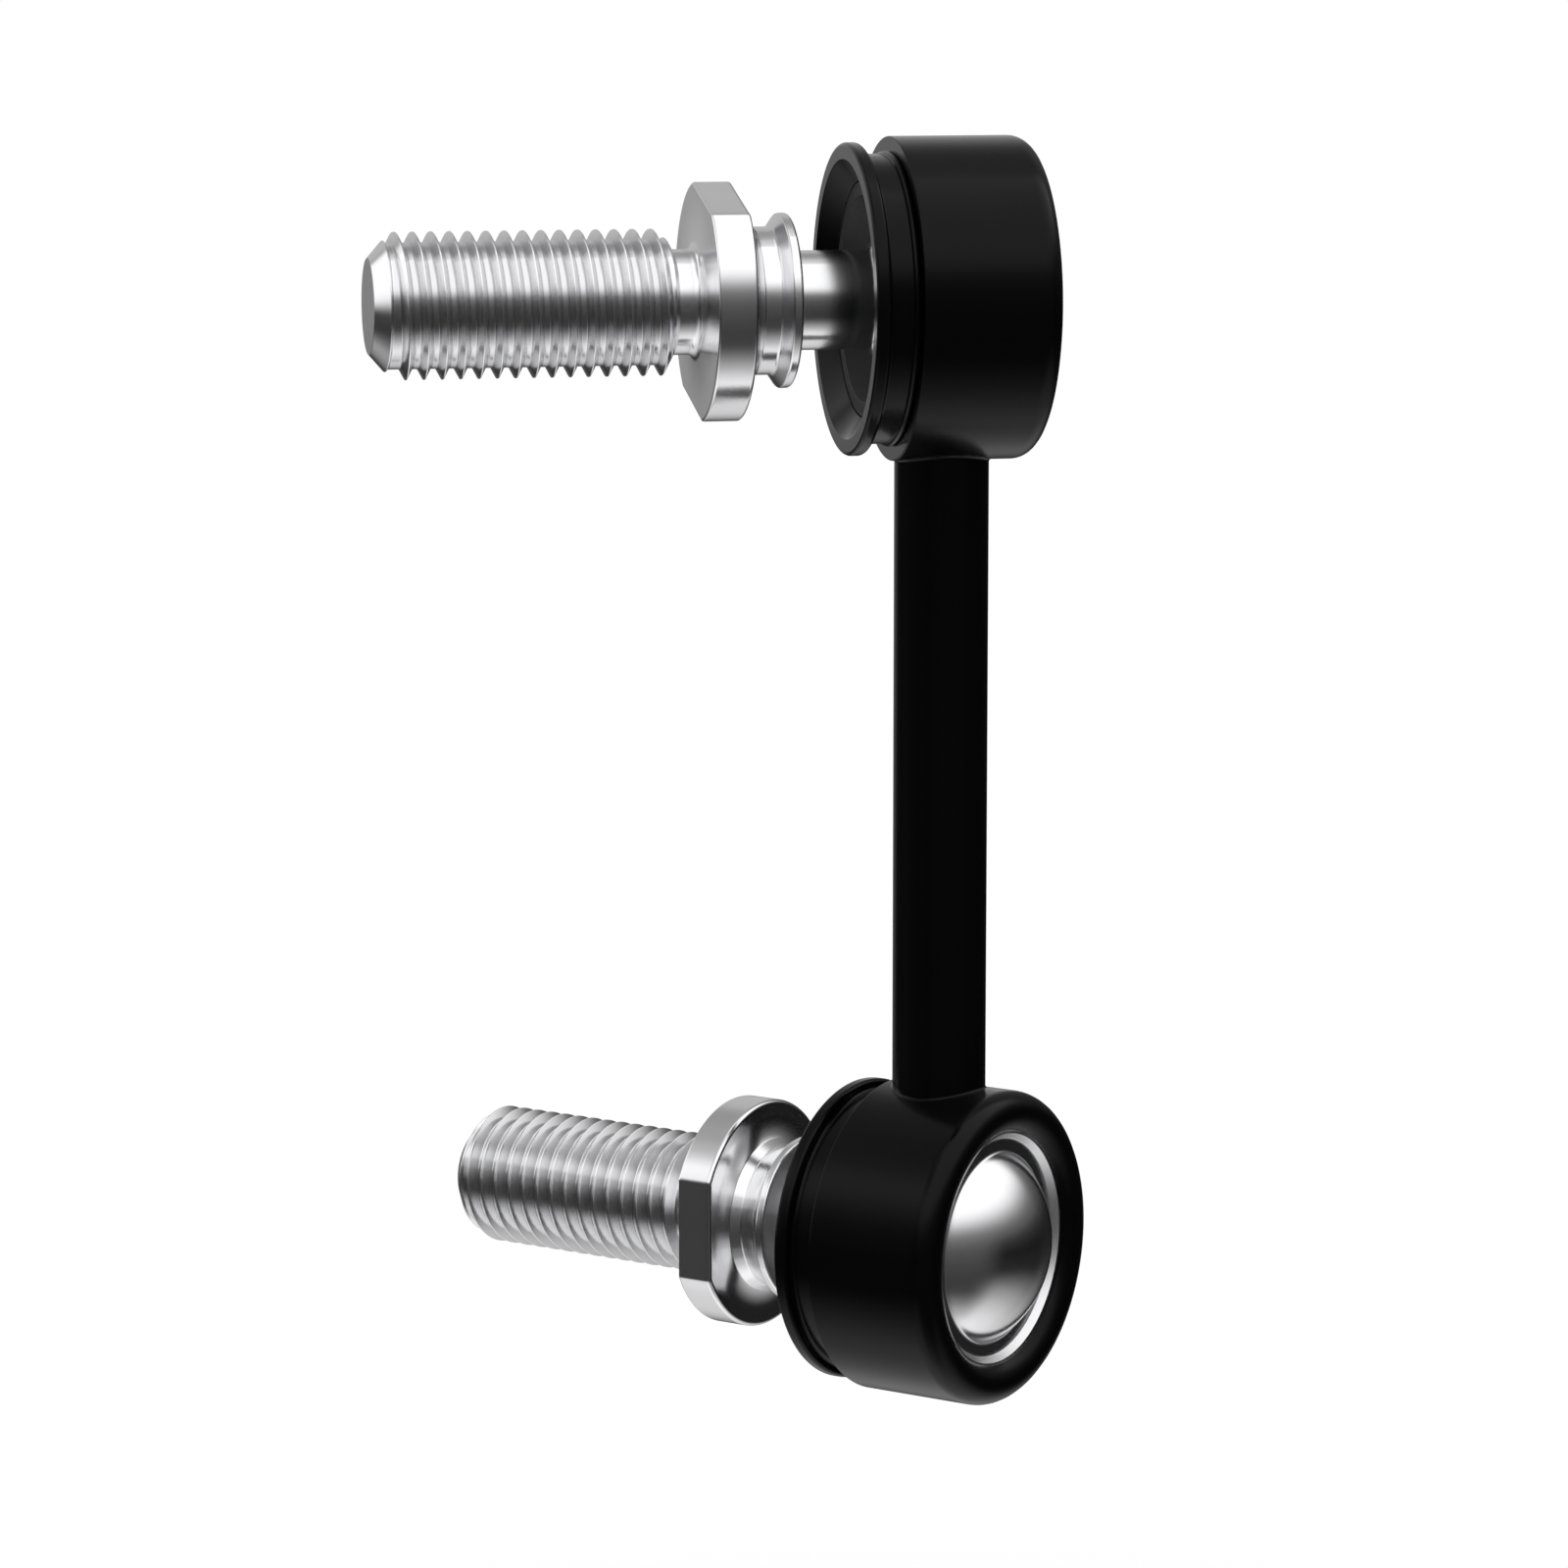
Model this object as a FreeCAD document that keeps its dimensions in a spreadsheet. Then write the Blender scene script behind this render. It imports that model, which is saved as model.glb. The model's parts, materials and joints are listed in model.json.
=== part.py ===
import FreeCAD, Part
import math
import os
import re

import Sketcher

# A stabilizer link: a steel rod with a welded ball joint housing at each end. Each housing holds a plastic
# seat, a ball stud and a cover plate. The rod stands on Z with the lower ball's centre at the origin. The
# upper stud points along -X, and the lower stud is turned about the rod by the twist.

sizes = {
    "centre_distance": "79.4",       # from ball centre to ball centre
    "stud_twist": "45",              # from the upper stud's direction to the lower one's
    "upper_flat_angle": "14.8",      # how far the upper wrench flats lean towards the viewer
    "lower_flat_angle": "90",        # the same for the lower stud, whose flats stand upright
    "rod_diameter": "7.84",
    "weld_radius": "0.2",            # the flare of the weld where the rod meets a housing
    "ball_diameter": "15",
    "ball_flat_offset": "0.5",       # from the ball's round in to the flat on its back
    "swivel_gap": "0.05",            # clearance round every surface that turns or drops in
    "seat_wall": "2.8",              # plastic between the ball and the housing's bore
    "seat_back_wall": "0.95",        # plastic behind the ball
    "seat_ring_width": "1.21",       # flat front ring of the seat
    "seat_recess": "0.03",           # how far that ring lies behind the throat's edge
    "dish_angle": "62",              # where the dished front of the seat meets the ball
    "shoulder_offset": "4.6",        # from the ball's centre to the shoulder that stops the seat
    "shoulder_width": "0.68",
    "mouth_depth": "1.5",
    "mouth_flare": "1.72",           # how much wider the mouth is than the throat, on the radius
    "lip_wall": "1.38",
    "lip_length": "1.2",
    "lip_front_radius": "0.33",
    "lip_back_radius": "0.35",
    "groove_depth": "0.95",          # groove for the boot, behind the outer lip
    "groove_length": "2.6",
    "bead_length": "0.6",            # small bead at the foot of the flange
    "bead_height": "0.25",
    "flange_offset": "4.5",          # from the ball's centre to the flange face
    "housing_wall": "2.3",
    "ledge_offset": "4.5",           # from the ball's centre back to the ledge under the cover plate
    "ledge_width": "0.6",
    "rim_overlap": "1.14",           # how far the rolled rim reaches over the cover plate
    "rim_thickness": "1",
    "rim_edge_thickness": "0.2",
    "rim_corner_radius": "1.7",
    "plate_thickness": "1",
    "plate_rim_width": "1.25",
    "plate_rim_height": "1.6",
    "plate_floor_width": "1.6",
    "dome_fillet": "0.4",
    "floor_fillet": "0.3",
    "neck_diameter": "8.14",
    "neck_fillet": "0.8",
    "boot_flange_offset": "13.08",   # from the ball's centre to the flange that stops the boot
    "boot_flange_thickness": "0.77",
    "boot_flange_fillet": "0.25",
    "boot_groove_diameter": "12.1",
    "boot_groove_depth": "1.1",
    "boot_flank_length": "0.77",
    "boot_groove_fillet": "0.4",
    "boot_groove_length": "1.38",
    "shoulder_step": "0.52",
    "shoulder_rise": "0.82",
    "collar_blend": "0.48",          # depth of the shallow dish between shoulder and collar
    "across_flats": "17.7",
    "flat_depth": "0.98",
    "collar_thickness": "3.27",
    "collar_face_width": "1.33",
    "collar_inner_rounding": "0.35",
    "collar_outer_rounding": "0.2",
    "hub_blend": "0.25",             # depth of the shallow dish on the collar's other face
    "relief_fillet": "0.66",
    "relief_length": "2.15",
    "relief_depth": "0.8",
    "lead_length": "0.93",           # cone where the thread starts at the relief
    "thread_diameter": "12",
    "thread_length": "22.05",
    "thread_depth": "0.9",
    "tip_length": "0.5",
    "nose_length": "1.36",
    "nose_step": "1.21",
}

doc = FreeCAD.newDocument("StabilizerLink")
sheet = doc.addObject("Spreadsheet::Sheet", "Sizes")
for row, (alias, value) in enumerate(sizes.items(), start=1):
    sheet.set(f"A{row}", value)
    sheet.setAlias(f"A{row}", alias)
doc.recompute()

# Radii of the joint, from the ball outwards.
ball_radius = "(ball_diameter / 2)"
cavity_radius = f"({ball_radius} + swivel_gap)"
seat_radius = f"({cavity_radius} + seat_wall)"
bore_radius = f"({seat_radius} + swivel_gap)"
throat_radius = f"({bore_radius} - shoulder_width)"
neck_ring_radius = f"({throat_radius} - swivel_gap)"
mouth_radius = f"({throat_radius} + mouth_flare)"
lip_radius = f"({mouth_radius} + lip_wall)"
groove_radius = f"({lip_radius} - groove_depth)"
pocket_radius = f"({bore_radius} + ledge_width)"
housing_radius = f"({pocket_radius} + housing_wall)"
opening_radius = f"({pocket_radius} - rim_overlap)"
plate_radius = f"({pocket_radius} - swivel_gap)"
plate_rim_radius = f"({plate_radius} - plate_rim_width)"
dome_base_radius = f"({plate_rim_radius} - plate_floor_width)"

# Places along the stud's axis, from the ball's centre towards the mouth.
lip_back = "(flange_offset + groove_length)"
lip_face = f"({lip_back} + lip_length)"
throat_end = f"({lip_face} - mouth_depth)"
seat_face = f"({throat_end} - seat_recess)"
seat_shoulder = "(shoulder_offset - swivel_gap)"

# Places behind the ball's centre, counted backwards.
ball_flat = f"({ball_radius} - ball_flat_offset)"
plate_seat = "(ledge_offset + swivel_gap)"
plate_floor = f"({plate_seat} + plate_thickness)"
plate_rim_top = f"({plate_seat} + plate_rim_height)"
pocket_end = f"({plate_rim_top} + swivel_gap)"
rim_crown = f"({pocket_end} + rim_thickness)"
seat_back = f"({cavity_radius} + seat_back_wall)"
dome_inner_top = f"({seat_back} + swivel_gap)"
dome_top = f"({dome_inner_top} + plate_thickness)"

# The dome and the back of the seat are spheres about one centre behind the ball's.
dome_height = f"({dome_top} - {plate_floor})"
dome_sphere_radius = f"(({dome_base_radius}^2 + {dome_height}^2) / (2 * {dome_height}))"
dome_centre = f"({dome_sphere_radius} - {dome_top})"
dome_inner_radius = f"({dome_sphere_radius} - plate_thickness)"
seat_sphere_radius = f"({dome_inner_radius} - swivel_gap)"

# Places along the stud, from the ball's centre towards the thread.
flange_crest_end = "(boot_flange_offset + boot_flange_thickness)"
boot_groove_start = f"({flange_crest_end} + boot_flank_length)"
boot_groove_end = f"({boot_groove_start} + boot_groove_length)"
shoulder_line = f"({boot_groove_end} + shoulder_rise)"
collar_start = f"({shoulder_line} + collar_blend)"
collar_end = f"({collar_start} + collar_thickness)"
hub_line = f"({collar_end} + hub_blend)"
relief_end = f"({collar_end} + relief_length)"
thread_start = f"({relief_end} + lead_length)"
thread_end = f"({thread_start} + thread_length)"
tip_end = f"({thread_end} + tip_length)"
nose_end = f"({tip_end} + nose_length)"

# Radii of the stud.
neck_radius = "(neck_diameter / 2)"
boot_groove_radius = "(boot_groove_diameter / 2)"
boot_flange_radius = f"({boot_groove_radius} + boot_groove_depth)"
shoulder_radius = f"({boot_groove_radius} + shoulder_step)"
collar_radius = "(across_flats / 2 + flat_depth)"
blend_radius = f"({collar_radius} - collar_face_width)"
thread_radius = "(thread_diameter / 2)"
root_radius = f"({thread_radius} - thread_depth)"
relief_radius = f"({root_radius} - relief_depth)"
hub_radius = f"({relief_radius} + relief_fillet)"
nose_radius = f"({root_radius} - nose_step)"


def bound(text):
    """Return the expression with the sheet's name in front of each alias."""
    return re.sub(r"[a-z]\w*", lambda word: f"Sizes.{word[0]}" if word[0] in sizes else word[0], text)


def number(text):
    """Work an expression out as a plain number."""
    found = sheet.evalExpression(bound(text))
    return float(getattr(found, "Value", found))


def new_body(name):
    """Start a sub-part, labelled with its own name."""
    body = doc.addObject("PartDesign::Body", name)
    body.Label = name
    return body


def new_sketch(body, name, role, offset=None):
    """Add a sketch on one of the body's origin planes, moved along the plane's normal by the offset."""
    plane = next(item for item in body.Origin.OriginFeatures if item.Role == role)
    sketch = body.newObject("Sketcher::SketchObject", name)
    sketch.AttachmentSupport = [(plane, "")]
    sketch.MapMode = "FlatFace"
    if offset:
        sketch.setExpression("AttachmentOffset.Base.z", bound(offset))
    return sketch


def bind(sketch, kind, geometry, position, text, name):
    """Hold one coordinate of a point of the sketch at an expression, measured from the origin."""
    constraint = Sketcher.Constraint(kind, -1, 1, geometry, position, number(text))
    index = sketch.addConstraint(constraint)
    sketch.renameConstraint(index, name)
    sketch.setExpression(f"Constraints.{name}", bound(text))


def bind_point(sketch, geometry, position, along, radius, name, kept="both"):
    """Hold a point at its place along the axis and at its radius, or at the one coordinate that is kept."""
    if kept in ("both", "along"):
        if along == "0":
            sketch.addConstraint(Sketcher.Constraint("PointOnObject", geometry, position, -2))
        else:
            bind(sketch, "DistanceX", geometry, position, along, f"{name}_along")
    if kept in ("both", "radius"):
        if radius == "0":
            sketch.addConstraint(Sketcher.Constraint("PointOnObject", geometry, position, -1))
        else:
            bind(sketch, "DistanceY", geometry, position, radius, f"{name}_radius")


def arc_between(start, end, centre, clockwise):
    """Return the arc from start to end about the centre, stored anticlockwise as a sketch wants it."""
    if clockwise:
        start, end = end, start
    first = math.atan2(start.y - centre.y, start.x - centre.x)
    last = math.atan2(end.y - centre.y, end.x - centre.x)
    circle = Part.Circle(centre, FreeCAD.Vector(0, 0, 1), start.distanceToPoint(centre))
    return Part.ArcOfCircle(circle, first, last if last > first else last + 2 * math.pi)


def draw_profile(body, name, points, arcs=None):
    """Draw a closed half section, with X along the axis and Y as the radius, and bind every point of it.

    points are pairs of expressions. arcs gives, by the number of the point that an arc leaves, the
    expressions of its centre and whether it runs clockwise.
    """
    arcs = arcs or {}
    sketch = new_sketch(body, name, "XY_Plane")
    places = [FreeCAD.Vector(number(along), number(radius), 0) for along, radius in points]
    ends = []
    for index, start in enumerate(places):
        end = places[(index + 1) % len(places)]
        if index in arcs:
            along, radius, clockwise = arcs[index]
            centre = FreeCAD.Vector(number(along), number(radius), 0)
            sketch.addGeometry(arc_between(start, end, centre, clockwise))
            ends.append((2, 1) if clockwise else (1, 2))
        else:
            sketch.addGeometry(Part.LineSegment(start, end))
            ends.append((1, 2))
    for index in range(len(points)):
        follower = (index + 1) % len(points)
        joint = Sketcher.Constraint("Coincident", index, ends[index][1], follower, ends[follower][0])
        sketch.addConstraint(joint)
    for index, (along, radius) in enumerate(points):
        kept = "both"
        before = (index - 1) % len(points)
        if before in arcs:
            centre = FreeCAD.Vector(number(arcs[before][0]), number(arcs[before][1]), 0)
            reach = places[index] - centre
            kept = "radius" if abs(reach.x) > abs(reach.y) else "along"
        bind_point(sketch, index, ends[index][0], along, radius, f"point{index}", kept)
    for index, (along, radius, _) in arcs.items():
        bind_point(sketch, index, 3, along, radius, f"centre{index}")
    return sketch


def revolve(body, sketch, name):
    """Turn a half section once round the axis."""
    turned = body.newObject("PartDesign::Revolution", name)
    turned.Profile = sketch
    turned.ReferenceAxis = (sketch, ["H_Axis"])
    turned.Angle = 360
    sketch.Visibility = False
    doc.recompute()
    return turned


def ring_edges(feature, *rings):
    """Name the circular edges of a feature that lie at the given places along and radii."""
    wanted = [(number(along), number(radius)) for along, radius in rings]
    names = []
    for index, edge in enumerate(feature.Shape.Edges, start=1):
        if edge.Degenerated or not isinstance(edge.Curve, Part.Circle):
            continue
        found = (edge.Curve.Center.x, edge.Curve.Radius)
        if any(math.dist(found, ring) < 0.001 for ring in wanted):
            names.append(f"Edge{index}")
    return names


def round_edges(body, feature, name, radius, edges):
    """Fillet the named edges of a feature."""
    rounded = body.newObject("PartDesign::Fillet", name)
    rounded.Base = (feature, edges)
    rounded.setExpression("Radius", bound(radius))
    doc.recompute()
    return rounded


def place(body, end, turn="0"):
    """Put a sub-part of one end on that end's ball centre, and turn it about the stud's own axis."""
    if end == "upper":
        height, heading = "centre_distance", "180"
    else:
        height, heading = "0", "180 - stud_twist"
    text = f"placement(vector(0; 0; {height}); rotationz({heading}) * rotationx({turn}))"
    body.setExpression("Placement", bound(text))


def make_housing(end):
    """The forged housing: mouth, outer lip, boot groove and flange in front, bore, ledge and rolled rim."""
    body = new_body(f"{end}_housing")
    bead_front = "(flange_offset + bead_length)"
    bead_arc = "((bead_length^2 / 4 + bead_height^2) / (2 * bead_height))"
    bead_centre = f"{groove_radius} + bead_height - {bead_arc}"
    crown_radius = f"({housing_radius} - rim_corner_radius)"
    rim_span = f"({crown_radius} - {opening_radius})"
    rim_drop = "(rim_thickness - rim_edge_thickness)"
    roll_radius = f"(({rim_span}^2 + {rim_drop}^2) / (2 * {rim_drop}))"
    points = [
        (lip_face, mouth_radius),
        (lip_face, lip_radius),
        (lip_back, lip_radius),
        (lip_back, groove_radius),
        (bead_front, groove_radius),
        ("flange_offset", groove_radius),
        ("flange_offset", housing_radius),
        (f"rim_corner_radius - {rim_crown}", housing_radius),
        (f"-{rim_crown}", crown_radius),
        (f"{rim_drop} - {rim_crown}", opening_radius),
        (f"-{pocket_end}", opening_radius),
        (f"-{pocket_end}", pocket_radius),
        ("-ledge_offset", pocket_radius),
        ("-ledge_offset", bore_radius),
        ("shoulder_offset", bore_radius),
        ("shoulder_offset", throat_radius),
        (throat_end, throat_radius),
    ]
    arcs = {
        4: ("flange_offset + bead_length / 2", bead_centre, False),
        7: (f"rim_corner_radius - {rim_crown}", crown_radius, False),
        8: (f"{roll_radius} - {rim_crown}", crown_radius, False),
    }
    section = draw_profile(body, f"{end}_housing_section", points, arcs)
    turned = revolve(body, section, f"{end}_housing_turned")
    front = ring_edges(turned, (lip_face, lip_radius))
    front_rounded = round_edges(body, turned, f"{end}_lip_front", "lip_front_radius", front)
    back = ring_edges(front_rounded, (lip_back, lip_radius))
    round_edges(body, front_rounded, f"{end}_lip_back", "lip_back_radius", back)
    place(body, end)
    return body


def make_cover_plate(end):
    """The pressed cover plate: a thick rim under the rolled edge, a flat floor and a domed middle."""
    body = new_body(f"{end}_cover_plate")
    inner_base = f"sqrt({dome_inner_radius}^2 - ({plate_seat} + {dome_centre})^2)"
    points = [
        (f"-{dome_top}", "0"),
        (f"-{dome_inner_top}", "0"),
        (f"-{plate_seat}", inner_base),
        (f"-{plate_seat}", plate_radius),
        (f"-{plate_rim_top}", plate_radius),
        (f"-{plate_rim_top}", plate_rim_radius),
        (f"-{plate_floor}", plate_rim_radius),
        (f"-{plate_floor}", dome_base_radius),
    ]
    arcs = {
        1: (dome_centre, "0", True),
        7: (dome_centre, "0", False),
    }
    section = draw_profile(body, f"{end}_plate_section", points, arcs)
    turned = revolve(body, section, f"{end}_plate_turned")
    base = ring_edges(turned, (f"-{plate_floor}", dome_base_radius))
    base_rounded = round_edges(body, turned, f"{end}_dome_foot", "dome_fillet", base)
    corner = ring_edges(base_rounded, (f"-{plate_floor}", plate_rim_radius))
    round_edges(body, base_rounded, f"{end}_floor_corner", "floor_fillet", corner)
    place(body, end)
    return body


def make_ball_seat(end):
    """The plastic seat: a ball-shaped cavity, a dished front with a flat ring, and a domed back."""
    body = new_body(f"{end}_ball_seat")
    back_edge = f"sqrt({seat_sphere_radius}^2 - (ledge_offset + {dome_centre})^2)"
    dish_along = f"{cavity_radius} * cos(dish_angle * 1deg)"
    dish_radius = f"{cavity_radius} * sin(dish_angle * 1deg)"
    points = [
        (f"-{seat_back}", "0"),
        (f"-{cavity_radius}", "0"),
        (dish_along, dish_radius),
        (seat_face, f"{neck_ring_radius} - seat_ring_width"),
        (seat_face, neck_ring_radius),
        (seat_shoulder, neck_ring_radius),
        (seat_shoulder, seat_radius),
        ("-ledge_offset", seat_radius),
        ("-ledge_offset", back_edge),
    ]
    arcs = {
        1: ("0", "0", True),
        8: (dome_centre, "0", False),
    }
    section = draw_profile(body, f"{end}_seat_section", points, arcs)
    revolve(body, section, f"{end}_seat_turned")
    place(body, end)
    return body


def cut_wrench_flats(body, end, base):
    """Cut the two wrench flats across the whole collar."""
    sketch = new_sketch(body, f"{end}_flats_outline", "YZ_Plane", collar_end)
    reach = f"({collar_radius} + flat_depth)"
    for side, sign in enumerate(("", "-")):
        corners = [
            (f"-{reach}", f"{sign}across_flats / 2"),
            (reach, f"{sign}across_flats / 2"),
            (reach, f"{sign}{reach}"),
            (f"-{reach}", f"{sign}{reach}"),
        ]
        places = [FreeCAD.Vector(number(across), number(up), 0) for across, up in corners]
        first = 4 * side
        for index in range(4):
            sketch.addGeometry(Part.LineSegment(places[index], places[(index + 1) % 4]))
        for index, (across, up) in enumerate(corners):
            follower = first + (index + 1) % 4
            sketch.addConstraint(Sketcher.Constraint("Coincident", first + index, 2, follower, 1))
            bind_point(sketch, first + index, 1, across, up, f"corner{first + index}")
    flats = body.newObject("PartDesign::Pocket", f"{end}_wrench_flats")
    flats.Profile = sketch
    flats.setExpression("Length", bound("collar_thickness"))
    sketch.Visibility = False
    doc.recompute()
    if flats.Shape.Volume >= base.Shape.Volume:
        raise RuntimeError(f"{end} wrench flats cut nothing")
    return flats


def make_ball_stud(end, turn):
    """The ball stud: ball, neck, boot flange and groove, collar with wrench flats, relief and shank.

    The shank is as thick as its thread.
    """
    body = new_body(f"{end}_ball_stud")
    flat_radius = f"sqrt({ball_radius}^2 - {ball_flat}^2)"
    neck_start = f"sqrt({ball_radius}^2 - {neck_radius}^2)"
    blend_span = f"({blend_radius} - {shoulder_radius})"
    blend_arc = f"(({blend_span}^2 + collar_blend^2) / (2 * collar_blend))"
    hub_span = f"({blend_radius} - {hub_radius})"
    hub_arc = f"(({hub_span}^2 + hub_blend^2) / (2 * hub_blend))"
    points = [
        (f"-{ball_flat}", "0"),
        (nose_end, "0"),
        (nose_end, nose_radius),
        (tip_end, root_radius),
        (thread_end, root_radius),
        (thread_end, thread_radius),
        (thread_start, thread_radius),
        (relief_end, relief_radius),
        (f"{hub_line} + relief_fillet", relief_radius),
        (hub_line, hub_radius),
        (collar_end, blend_radius),
        (collar_end, collar_radius),
        (collar_start, collar_radius),
        (collar_start, blend_radius),
        (shoulder_line, shoulder_radius),
        (boot_groove_end, boot_groove_radius),
        (boot_groove_start, boot_groove_radius),
        (flange_crest_end, boot_flange_radius),
        ("boot_flange_offset", boot_flange_radius),
        ("boot_flange_offset", neck_radius),
        (neck_start, neck_radius),
        (f"-{ball_flat}", flat_radius),
    ]
    arcs = {
        8: (f"{hub_line} + relief_fillet", hub_radius, True),
        9: (f"{collar_end} + {hub_arc}", blend_radius, True),
        13: (f"{collar_start} - {blend_arc}", blend_radius, True),
        20: ("0", "0", False),
    }
    section = draw_profile(body, f"{end}_stud_section", points, arcs)
    turned = revolve(body, section, f"{end}_stud_turned")
    shaped = turned
    roundings = [
        ("neck_foot", "neck_fillet", [(neck_start, neck_radius)]),
        ("boot_flange_front", "boot_flange_fillet", [("boot_flange_offset", boot_flange_radius)]),
        ("boot_flange_back", "boot_flange_fillet", [(flange_crest_end, boot_flange_radius)]),
        ("boot_groove_foot", "boot_groove_fillet", [(boot_groove_start, boot_groove_radius)]),
        ("collar_inner_edge", "collar_inner_rounding", [(collar_start, collar_radius)]),
        ("collar_outer_edge", "collar_outer_rounding", [(collar_end, collar_radius)]),
    ]
    for name, radius, rings in roundings:
        shaped = round_edges(body, shaped, f"{end}_{name}", radius, ring_edges(shaped, *rings))
    cut_wrench_flats(body, end, shaped)
    place(body, end, turn)
    return body


def add_saddle(body, kind, name, height, heading, length):
    """Add or cut a cylinder of the housing's size across one end of the rod."""
    saddle = body.newObject(kind, name)
    saddle.setExpression("Radius", bound(housing_radius))
    saddle.setExpression("Height", bound(length))
    across = f"placement(vector(0; 0; {height}); rotationz({heading}) * rotationy(90))"
    centred = f"placement(vector(0; 0; -{length} / 2); rotationz(0))"
    saddle.setExpression("Placement", bound(f"{across} * {centred}"))
    doc.recompute()
    return saddle


def make_link_rod():
    """The rod, cut to the round of each housing, with the small flare of the weld at both ends."""
    body = new_body("link_rod")
    sketch = new_sketch(body, "rod_circle", "XY_Plane")
    sketch.addGeometry(Part.Circle(FreeCAD.Vector(0, 0, 0), FreeCAD.Vector(0, 0, 1), number("rod_diameter / 2")))
    sketch.addConstraint(Sketcher.Constraint("Coincident", 0, 3, -1, 1))
    diameter = sketch.addConstraint(Sketcher.Constraint("Diameter", 0, number("rod_diameter")))
    sketch.renameConstraint(diameter, "diameter")
    sketch.setExpression("Constraints.diameter", bound("rod_diameter"))
    bar = body.newObject("PartDesign::Pad", "rod_bar")
    bar.Profile = sketch
    bar.setExpression("Length", bound("centre_distance"))
    sketch.Visibility = False
    doc.recompute()
    ends = [("lower", "0", "180 - stud_twist"), ("upper", "centre_distance", "180")]
    saddle_length = "(rod_diameter + 4 * weld_radius)"
    for end, height, heading in ends:
        saddle = "PartDesign::AdditiveCylinder"
        joined = add_saddle(body, saddle, f"{end}_saddle", height, heading, saddle_length)
    radius = number("rod_diameter / 2")
    seams = []
    for index, edge in enumerate(joined.Shape.Edges, start=1):
        on_bar = all(abs(math.hypot(point.x, point.y) - radius) < 0.001 for point in edge.discretize(9))
        if on_bar and not isinstance(edge.Curve, Part.Line):
            seams.append(f"Edge{index}")
    flared = round_edges(body, joined, "weld_flare", "weld_radius", seams)
    cut_length = f"({saddle_length} + 4 * weld_radius)"
    for end, height, heading in ends:
        saddle = "PartDesign::SubtractiveCylinder"
        cut = add_saddle(body, saddle, f"{end}_saddle_cut", height, heading, cut_length)
    if cut.Shape.Volume >= flared.Shape.Volume:
        raise RuntimeError("the rod's ends weren't cut to the housings")
    return body


def check_document(pieces):
    """Stop if any object failed, or if a piece isn't one sound solid."""
    for item in doc.Objects:
        if "Invalid" in item.State or "Error" in item.State:
            raise RuntimeError(f"{item.Name} failed: {item.State}")
    for piece in pieces:
        shape = piece.Shape
        if shape.isNull() or not shape.isValid() or len(shape.Solids) != 1:
            raise RuntimeError(f"{piece.Label} isn't one sound solid")


pieces = [make_link_rod()]
for end, turn in (("upper", "-upper_flat_angle"), ("lower", "lower_flat_angle")):
    pieces.append(make_housing(end))
    pieces.append(make_cover_plate(end))
    pieces.append(make_ball_seat(end))
    pieces.append(make_ball_stud(end, turn))
doc.recompute()
check_document(pieces)

os.makedirs("parts", exist_ok=True)
for piece in pieces:
    piece.Shape.exportStep(f"parts/{piece.Label}.step")
    print(f"{piece.Label}: {piece.Shape.Volume:.1f} mm3")
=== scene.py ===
# %% [markdown]
# A stabilizer link in black and bright steel
#
# A stabilizer link ties a car's stabilizer bar to its suspension. It is a short steel rod with a ball joint
# at each end, and each ball joint ends in a threaded stud that points sideways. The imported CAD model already
# holds every piece at its real size and place. These cells give each piece its finished surface, with the
# real thread cut on the studs, and set the light and the camera.

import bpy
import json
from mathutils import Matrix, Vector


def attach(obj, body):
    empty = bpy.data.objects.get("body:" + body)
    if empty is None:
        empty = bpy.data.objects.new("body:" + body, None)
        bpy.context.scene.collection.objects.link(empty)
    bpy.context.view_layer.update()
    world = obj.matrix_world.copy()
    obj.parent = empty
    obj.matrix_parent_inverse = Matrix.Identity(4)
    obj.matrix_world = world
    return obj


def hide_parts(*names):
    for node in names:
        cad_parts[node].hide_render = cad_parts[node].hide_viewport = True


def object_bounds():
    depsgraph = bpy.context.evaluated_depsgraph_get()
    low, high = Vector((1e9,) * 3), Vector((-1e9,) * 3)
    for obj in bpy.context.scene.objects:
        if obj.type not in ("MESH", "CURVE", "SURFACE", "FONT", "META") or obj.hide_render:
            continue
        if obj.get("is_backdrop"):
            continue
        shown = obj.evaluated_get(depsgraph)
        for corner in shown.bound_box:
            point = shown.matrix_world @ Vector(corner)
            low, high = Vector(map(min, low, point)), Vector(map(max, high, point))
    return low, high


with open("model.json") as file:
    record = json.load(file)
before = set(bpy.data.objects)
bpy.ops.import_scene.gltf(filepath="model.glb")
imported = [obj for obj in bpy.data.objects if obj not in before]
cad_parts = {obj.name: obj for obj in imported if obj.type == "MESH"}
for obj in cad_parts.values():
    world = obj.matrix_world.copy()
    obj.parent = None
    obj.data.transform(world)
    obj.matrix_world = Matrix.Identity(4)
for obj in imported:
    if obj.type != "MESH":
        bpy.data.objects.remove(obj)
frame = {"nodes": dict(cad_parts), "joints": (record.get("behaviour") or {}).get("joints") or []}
cad_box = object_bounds()
print("nodes:", ", ".join(sorted(frame["nodes"])))

# %% Modules and the unit
import cmath
import json
import math

import bmesh
import bpy
import numpy as np
from mathutils import Matrix, Vector

MM = 0.001
print("all lengths below are in millimetres, and one Blender unit is", round(1 / MM), "of them")

# %% [markdown]
# The camera
#
# A camera is easiest to place as a photographer would say it: what it aims at, how far away it stands, from
# which side and from how high. The long lens keeps the perspective weak, so the upper and the lower ball
# joint look almost the same size.

# %% Set up the camera
camera_aim = Vector((-13.3, 0.0, 39.35)) * MM
camera_distance = 463.4 * MM
camera_side = math.radians(-11.76)
camera_height = math.radians(9.007)
lens_mm = 128.3
sensor_mm = 36.0
nearest_seen, farthest_seen = 10 * MM, 10000 * MM

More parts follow.
